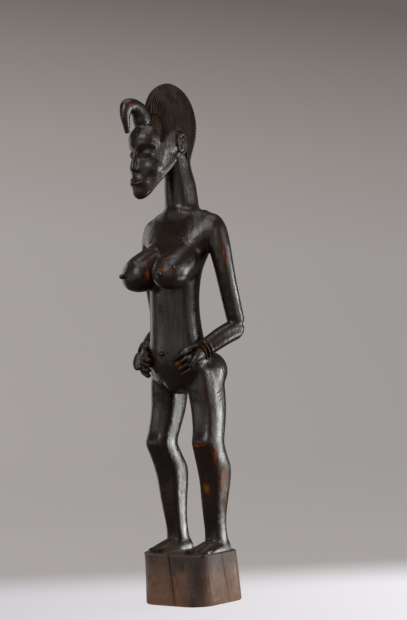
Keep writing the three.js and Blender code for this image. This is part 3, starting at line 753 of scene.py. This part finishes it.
viewer.matrix_world = Matrix.Translation((spot + Vector(toFrame)) * mm) @ Matrix(
    (right, up, -ahead)).transposed().to_4x4()
scene.collection.objects.link(viewer)
scene.camera = viewer

scene.view_settings.view_transform = "Standard"


# A box of even light. Its azimuth counts from the camera's, its brightness is what a mirror would show.
def softbox(name, azimuth, distance, height, size, brightness, aim):
    light = bpy.data.lights.new(name, "AREA")
    light.shape = "RECTANGLE"
    light.size, light.size_y = size
    light.energy = brightness * math.pi * size[0] * size[1]
    obj = bpy.data.objects.new(name, light)
    a = turn + math.radians(azimuth)
    obj.location = (math.sin(a) * distance, -math.cos(a) * distance, height)
    obj.rotation_euler = (Vector((0, 0, aim)) - obj.location).to_track_quat("-Z", "Y").to_euler()
    obj.visible_camera = False
    scene.collection.objects.link(obj)


# Azimuth, distance, height, size of the face, brightness and the height that it aims at
lights = {
    "keyBox": (-18, 2.2, 2.1, (1.5, 1.2), 2.8, 0.6),
    "topBox": (0, 0.4, 2.9, (2.4, 2.4), 0.9, 0.5),
    "frontPanel": (-25, 3.6, 1.1, (7.5, 3), 0.3, 0.5),
    "sidePanel": (72, 1.8, 0.9, (1.7, 1.5), 0.6, 0.6),
    "tallStrip": (101, 2.4, 0.45, (0.36, 0.95), 14, 0.4),
    "lowStrip": (98, 0.95, 0.05, (0.4, 0.24), 5.5, 0.1),
    "glintBox": (73, 1.6, 0.88, (0.18, 0.2), 13, 0.6),
    "windowBox": (-84, 1.8, 0.5, (0.8, 0.7), 0.7, 0.5),
    "backPanel": (-140, 1.6, 0.6, (0.8, 1.6), 0.8, 0.5),
}
for name, values in lights.items():
    softbox(name, *values)
world = bpy.data.worlds.new("studio")
scene.world = world
world.use_nodes = True
faintLight = world.node_tree.nodes["Background"].inputs
faintLight["Color"].default_value = linear("#fffaf6")
faintLight["Strength"].default_value = 0.07

# Pale floor that sweeps up into a plain grey wall behind the figure
sweep = {"behind": 4.8, "radius": 0.9, "wide": 9, "front": 6, "tall": 5}
awayX, awayY = -math.sin(turn), math.cos(turn)
profile = [(-sweep["front"], 0.0), (-1.2, 0.0)] + [
    (sweep["behind"] + sweep["radius"] * math.sin(a), sweep["radius"] * (1 - math.cos(a)))
    for a in np.radians(np.arange(0, 91, 6))] + [(sweep["behind"] + sweep["radius"], sweep["tall"])]
corners = [(awayX * d + awayY * s, awayY * d - awayX * s, h) for d, h in profile
           for s in (-sweep["wide"], sweep["wide"])]
faces = [(2 * i, 2 * i + 1, 2 * i + 3, 2 * i + 2) for i in range(len(profile) - 1)]
floor = plainMesh("studioSweep", corners, faces)
floor.data.polygons.foreach_set("use_smooth", [True] * len(floor.data.polygons))

# Backdrop paper, matt and smooth. It mostly glows, so its grey is set by its colour: the grey is painted
# darker upwards and sideways, as painted shade where less light falls
paperLook = {
    "low": "#b2adaa", "high": "#776e6b", "between": [(0.6, "#aea9a6"), (0.76, "#a39c99"), (0.9, "#8e8682")],
    "leaning": 0.12, "fading": 0.3, "start": 0.27,  # how the wall's grey goes with width and height
    "floor": "#efecf1", "floorEdge": (0.56, 0.08),
    "wallAcross": (-1.1, 1.1, 1.06, 0.96), "floorAcross": (-0.5, 0.4, 0.76, 1.12), "glow": 0.8,
}
paper = bpy.data.materials.new("backdropPaper")
paper.use_nodes = True
tree = paper.node_tree
place = addNode(tree, "ShaderNodeTexCoord").outputs["Object"]
height = addNode(tree, "ShaderNodeSeparateXYZ", [place]).outputs["Z"]
sideways = (math.cos(turn), math.sin(turn), 0)
aside = addNode(tree, "ShaderNodeVectorMath", [place, sideways], operation="DOT_PRODUCT")
back = addNode(tree, "ShaderNodeVectorMath", [place, (awayX, awayY, 0)], operation="DOT_PRODUCT")
height = addNode(tree, "ShaderNodeMath", [aside, paperLook["leaning"], height], operation="MULTIPLY_ADD")
falling = addNode(tree, "ShaderNodeMath", [height, paperLook["fading"], paperLook["start"]],
                  operation="MULTIPLY_ADD")
ramp = addNode(tree, "ShaderNodeValToRGB", [falling])
stops = ramp.color_ramp.elements
stops[0].color = linear(paperLook["low"])
stops[1].color = linear(paperLook["high"])
for at, shade in paperLook["between"]:
    stops.new(at).color = linear(shade)
onFloor = addNode(tree, "ShaderNodeMapRange", [back, *paperLook["floorEdge"]],
                  interpolation_type="SMOOTHSTEP")
tone = addNode(tree, "ShaderNodeMix", {0: onFloor, 6: ramp, 7: paperLook["floor"]}, data_type="RGBA")
# Painted shade: the wall darkens to the right, and the floor to the left, away from the key light
wallPaintedFalloff = addNode(tree, "ShaderNodeMapRange", [aside, *paperLook["wallAcross"]])
floorPaintedFalloff = addNode(tree, "ShaderNodeMapRange", [aside, *paperLook["floorAcross"]])
fall = addNode(tree, "ShaderNodeMix", {0: onFloor, 2: wallPaintedFalloff, 3: floorPaintedFalloff}, data_type="FLOAT")
glow = addNode(tree, "ShaderNodeEmission", [tone, fall])
matt = addNode(tree, "ShaderNodeBsdfDiffuse", [tone])
blend = addNode(tree, "ShaderNodeMixShader", [paperLook["glow"], matt, glow])
tree.links.new(blend.outputs[0], tree.nodes["Material Output"].inputs["Surface"])
floor.data.materials.append(paper)
floor.visible_glossy = False  # a wall this close would veil the dark wood
floor.visible_diffuse = False

print("wood")
count = len(statue.data.vertices)
places = np.empty(count * 3, np.float32)
statue.data.vertices.foreach_get("co", places)
places = places.reshape(-1, 3) / mm - toFrame


# How deep each corner of the mesh lies in any of the spots: x, y, z, reach across, reach up, amount
def inSpots(spots):
    found = np.zeros(count)
    for x, y, z, across, tall, amount in spots:
        away = ((places[:, 0] - x) ** 2 + (places[:, 1] - y) ** 2) / across**2
        away += (places[:, 2] - z) ** 2 / tall**2
        found = np.maximum(found, amount * np.exp(-0.8 * away))
    return found


# Places where handling has rubbed through to the brown wood
rubbed = {
    "head": [(11, -135, 895, 8, 5, 0.9), (38, -34, 844, 10, 8, 0.35)],
    "breasts": [
        (-12, -81, 624, 7, 10, 0.7), (-7, -91, 596, 6, 14, 0.95), (41, -111, 601, 8, 5, 1.0),
        (58, -101, 600, 7, 5, 0.8), (46, -100, 618, 7, 5, 0.5), (-26, -58, 645, 8, 6, 0.8),
        (-38, -50, 573, 9, 18, 0.9),
    ],
    "arm": [
        (98, 1, 632, 7, 13, 0.75), (99, 4, 614, 6, 10, 0.6), (88, 30, 575, 5, 40, 0.4),
        (95, 57, 486, 12, 9, 0.55), (94, -2, 477, 9, 5, 0.5), (86, -22, 466, 9, 5, 0.5),
    ],
    "hands": [
        (75, -50, 459, 8, 7, 0.7), (75, -38, 448, 8, 7, 0.55), (37, -68, 433, 8, 9, 1.1),
        (72, -34, 462, 8, 7, 0.9), (-41, -67, 457, 9, 6, 0.6), (-34, -68, 432, 7, 8, 0.6),
        (-70, -34, 460, 8, 8, 0.5),
    ],
    "navel": [(2, -76, 454, 6, 4, 0.8)],
    "legs": [
        (51, -45, 287, 12, 4, 1.0), (66, -43, 289, 12, 4, 0.8), (-52, -46, 295, 5, 4, 0.45),
        (51, -22, 209, 9, 14, 1.0), (75, -22, 270, 9, 24, 0.8), (77, 1, 223, 14, 34, 1.0),
        (69, 11, 187, 11, 24, 0.8), (63, -28, 377, 5, 24, 0.45), (60, -24, 340, 6, 18, 0.35),
        (-47, -30, 268, 5, 12, 0.3),
    ],
}
rub = inSpots(sum(rubbed.values(), []))
# Painted shade on the plinth's front, darkest near its corner, where the glossy face turns to the camera
frontShade = inSpots([(60, -68, 50, 17, 60, 0.9), (52, -72, 14, 15, 13, 1.1), (20, -76, 80, 20, 14, 0.7)])

# How far each place stands out from its surroundings: ridges are rubbed, hollows are duller, and on the feet
# hollows are darkened as painted shade
ends = np.empty(len(statue.data.edges) * 2, np.int32)
statue.data.edges.foreach_get("vertices", ends)
ends = ends.reshape(-1, 2)
ends = np.concatenate([ends, ends[:, ::-1]])
linked = np.maximum(np.bincount(ends[:, 0], minlength=count), 1)


def evenedOut(values, rounds):
    for _ in range(rounds):
        total = np.bincount(ends[:, 0], values[ends[:, 1]], count)
        values = values * 0.4 + total / linked * 0.6
    return values


normals = np.empty(count * 3, np.float32)
statue.data.vertices.foreach_get("normal", normals)
normals = normals.reshape(-1, 3)
evened = np.column_stack([evenedOut(places[:, k], 6) for k in range(3)])
standing = evenedOut(((places - evened) * normals).sum(1), 2)
outside = plinthForm(plinth)[2](places)
block = np.clip(1.2 - outside, 0, 1) * (places[:, 2] < plinth["underside"] + plinth["height"] + 2)
feet = np.clip((places[:, 1] + 6) / -14, 0, 1) * np.clip((126 - places[:, 2]) / 12, 0, 1) * (1 - block)
feet *= np.clip((66 - np.abs(places[:, 0])) / 5, 0, 1)
for name, values in (("rub", rub), ("standing", standing), ("block", block), ("feet", feet),
                     ("split", np.clip(-outside, 0, 4) * (places[:, 2] < 95)), ("frontShade", frontShade)):
    addLayer(statue.data, name, values)
print("standing", np.percentile(standing, [1, 10, 50, 90, 99]).round(3))

# Oiled and smoked hardwood, handled for years: nearly black with fine upright fibres, brown where hands wore
# it, dull and dusty on the toes, and bare rough-sawn brown on the block
tree = wood.node_tree
shader = tree.nodes["Principled BSDF"]
place = addNode(tree, "ShaderNodeTexCoord").outputs["Object"]
known = {"height": addNode(tree, "ShaderNodeSeparateXYZ", [place]).outputs["Z"]}
for name in ("rub", "standing", "block", "feet", "strand", "shown", "split", "frontShade"):
    known[name] = addNode(tree, "ShaderNodeAttribute", attribute_name=name).outputs["Fac"]

# Noise: how wide and how tall its features are in millimetres, its detail and its roughness
noises = {
    "fibre": (0.8, 14, 4, 0.55), "streak": (5, 70, 3, 0.55), "patch": (22, 34, 3, 0.55),
    "crumb": (2.6, 4.5, 4, 0.7), "sawing": (3, 9, 4, 0.65), "smoke": (30, 40, 4, 0.6),
}
for name, (wide, tall, detail, rough) in noises.items():
    scale = (1 / (wide * mm), 1 / (wide * mm), 1 / (tall * mm))
    size = addNode(tree, "ShaderNodeMapping", {"Vector": place, "Scale": scale})
    known[name] = addNode(tree, "ShaderNodeTexNoise",
                          {"Vector": size, "Scale": 1.0, "Detail": detail, "Roughness": rough})
# Cells in millimetres: the tool's facets, and small pits on the lower legs
for name, feature, size in (("pit", "F1", 4.5), ("facet", "SMOOTH_F1", 11)):
    known[name] = addNode(tree, "ShaderNodeTexVoronoi", {"Vector": place, "Scale": 1 / (size * mm)},
                          feature=feature)

# What colour and gloss follow: each row names its result, what is done, and what with. EASE runs smoothly
# from 0 to 1, or between its last two numbers, while its value goes from the first number to the second.
woodSums = [
    ("ridge", "EASE", "standing", 0.12, 0.5), ("hollow", "EASE", "standing", -0.15, -0.8),
    ("brownStreak", "EASE", "streak", 0.4, 0.7), ("warmPatch", "EASE", "patch", 0.45, 0.75, 0, 0.7),
    ("crumbled", "EASE", "crumb", 0.35, 0.7), ("wornRidge", "MULTIPLY", "ridge", "crumbled"),
    ("bareGrain", "EASE", "fibre", 0.3, 0.7), ("halo", "EASE", "rub", 0.08, 0.6, 0, 0.85),
    ("streakyRub", "ADD", "rub", "streak"), ("raggedRub", "MULTIPLY_ADD", "crumb", 0.9, "streakyRub"),
    ("bareShare", "EASE", "raggedRub", 1.45, 1.9),
    # Strand tops: the ridge of each strand is painted lighter, as a painted highlight
    ("acrossStrands", "MULTIPLY", "strand", math.pi), ("wave", "SINE", "acrossStrands"),
    ("hump", "ABSOLUTE", "wave"), ("strandTopPaintedHighlight", "EASE", "hump", 0.35, 0.95),
    ("hairPatch", "EASE", "patch", 0.35, 0.65), ("dustCrumb", "EASE", "crumb", 0.3, 0.7),
    ("dustPatch", "EASE", "patch", 0.2, 0.6, 0.5, 0.9), ("dusty", "MULTIPLY", "feet", "dustPatch"),
    ("sawMark", "EASE", "sawing", 0.25, 0.75), ("smoked", "EASE", "smoke", 0.45, 0.7, 0, 0.6),
    ("highUp", "EASE", "height", 0.045, 0.09, 0, 0.65), ("lowDown", "EASE", "height", 0.065, 0.015, 0, 0.5),
    ("unevenHeight", "MULTIPLY_ADD", "crumb", 0.012, "height"),
    # The plinth's edges and ridges are painted paler: a painted highlight on the bevels
    ("lowEdge", "EASE", "unevenHeight", 0.012, 0.0065, 0, 0.85), ("blockEdgePaintedHighlight", "MULTIPLY", "ridge", 0.6),
    # Painted shade on the plinth's front near its corner, broken up by the crumb noise
    ("frontShadeCrumb", "EASE", "crumb", 0.2, 0.6, 0.6, 1.0), ("paintedFrontShade", "MULTIPLY", "frontShade", "frontShadeCrumb"),
    # Inside the cracks the wood is painted near black: painted shade in the narrow splits
    ("crackPaintedShade", "EASE", "split", 0.02, 0.35), ("glossyPatch", "EASE", "patch", 0.3, 0.7, 0.12, 0.25),
    ("patchyStreak", "MULTIPLY_ADD", "patch", 0.5, "streak"),
    ("patchyFibre", "MULTIPLY_ADD", "fibre", 0.35, "patchyStreak"),
    ("polished", "EASE", "patchyFibre", 0.75, 1.1, 0.9, 0.35), ("dull", "MAXIMUM", "shown", "feet"),
    ("notDull", "EASE", "dull", 0, 1, 1, 0.4), ("notRubbed", "EASE", "rub", 0.1, 0.7, 1, 0.4),
    ("bodyShine", "MULTIPLY", "polished", "notDull"), ("skinShine", "MULTIPLY", "bodyShine", "notRubbed"),
    ("blockShine", "MULTIPLY", "block", 0.9), ("shine", "MAXIMUM", "skinShine", "blockShine"),
    ("hairOrHalo", "MAXIMUM", "shown", "halo"), ("blockOrFeet", "MAXIMUM", "block", "feet"),
    ("dry", "MAXIMUM", "hairOrHalo", "blockOrFeet"), ("coat", "MULTIPLY_ADD", "dry", -0.3, 0.3),
    ("pitDot", "EASE", "pit", 0.22, 0.08), ("pitPatch", "EASE", "patch", 0.52, 0.62),
    ("underKnee", "EASE", "height", 0.28, 0.26), ("overAnkle", "EASE", "height", 0.13, 0.15),
    ("pits", "MULTIPLY", "pitDot", "pitPatch"), ("onShin", "MULTIPLY", "underKnee", "overAnkle"),
    ("pitted", "MULTIPLY", "pits", "onShin"), ("roughSawn", "MULTIPLY", "crumb", "block"),
]
for name, operation, *parts in woodSums:
    parts = [known.get(part, part) for part in parts]
    if operation == "EASE":
        known[name] = addNode(tree, "ShaderNodeMapRange", parts, interpolation_type="SMOOTHSTEP")
    else:
        known[name] = addNode(tree, "ShaderNodeMath", parts, operation=operation)

# Roughness, and relief in millimetres, are sums of shares
shares = {
    "roughness": {
        "glossyPatch": 1, "fibre": 0.2, "bareShare": 0.12, "hollow": 0.2, "feet": 0.25, "block": 0.06,
        "shown": 0.25,
    },
    "relief": {"fibre": 0.18, "pitted": -0.4, "facet": 0.6, "streak": 0.5, "roughSawn": 0.9},
}
for name, parts in shares.items():
    total = 0.0
    for part, share in parts.items():
        total = addNode(tree, "ShaderNodeMath", [known[part], share, total], operation="MULTIPLY_ADD")
    known[name] = total

# Each tone starts from a colour and takes others over it by their shares. Later ones may use earlier ones.
layers = {
    "bare": ["#4f2409", ("bareGrain", "#a9651f")],
    # Crest: near black in the grooves as painted shade, and the lock tone on the strand tops as a painted
    # highlight
    "lock": ["#584330", ("hairPatch", "#3a3028")],
    "hair": ["#040303", ("strandTopPaintedHighlight", "lock")],
    # Feet: dull brown dust with paler crumbs, and painted shade darkening the toes' grooves and other
    # hollows
    "dustAndShade": ["#3b3127", ("dustCrumb", "#5c4f3f"), ("hollow", "#120d09")],
    "skin": [
        "#1b110b", ("brownStreak", "#372417"), ("warmPatch", "#38231a"), ("wornRidge", "#4a2c1b"),
        ("halo", "#4a2213"), ("bareShare", "bare"), ("shown", "hair"), ("dusty", "dustAndShade"),
    ],
    "sawn": [
        "#7a5846", ("sawMark", "#a27d67"), ("smoked", "#2b1d17"), ("highUp", "#33231f"),
        # Painted highlight: the plinth's edges and ridges take a paler brown
        ("lowDown", "#a5714c"), ("lowEdge", "#c08a58"), ("blockEdgePaintedHighlight", "#8a6a4c"), ("paintedFrontShade", "#241711"),
        # Painted shade inside the cracks
        ("crackPaintedShade", "#070403"),
    ],
    "whole": ["skin", ("block", "sawn")],
}
tones = {}
for name, (tone, *over) in layers.items():
    tone = tones.get(tone, tone)
    for share, colour in over:
        inputs = {0: known[share], 6: tone, 7: tones.get(colour, colour)}
        tone = addNode(tree, "ShaderNodeMix", inputs, data_type="RGBA")
    tones[name] = tone

bump = addNode(tree, "ShaderNodeBump", {"Height": known["relief"], "Strength": 1.0, "Distance": mm})
tree.links.new(tones["whole"].outputs[2], shader.inputs["Base Color"])
tree.links.new(known["roughness"].outputs[0], shader.inputs["Roughness"])
tree.links.new(known["shine"].outputs[0], shader.inputs["Specular IOR Level"])
tree.links.new(known["coat"].outputs[0], shader.inputs["Coat Weight"])
tree.links.new(bump.outputs[0], shader.inputs["Normal"])
shader.inputs["Coat Roughness"].default_value = 0.16

statue.data.materials.clear()
statue.data.materials.append(wood)
statue.data.polygons.foreach_set("use_smooth", [True] * len(statue.data.polygons))
statue.data.set_sharp_from_angle(angle=math.radians(38))
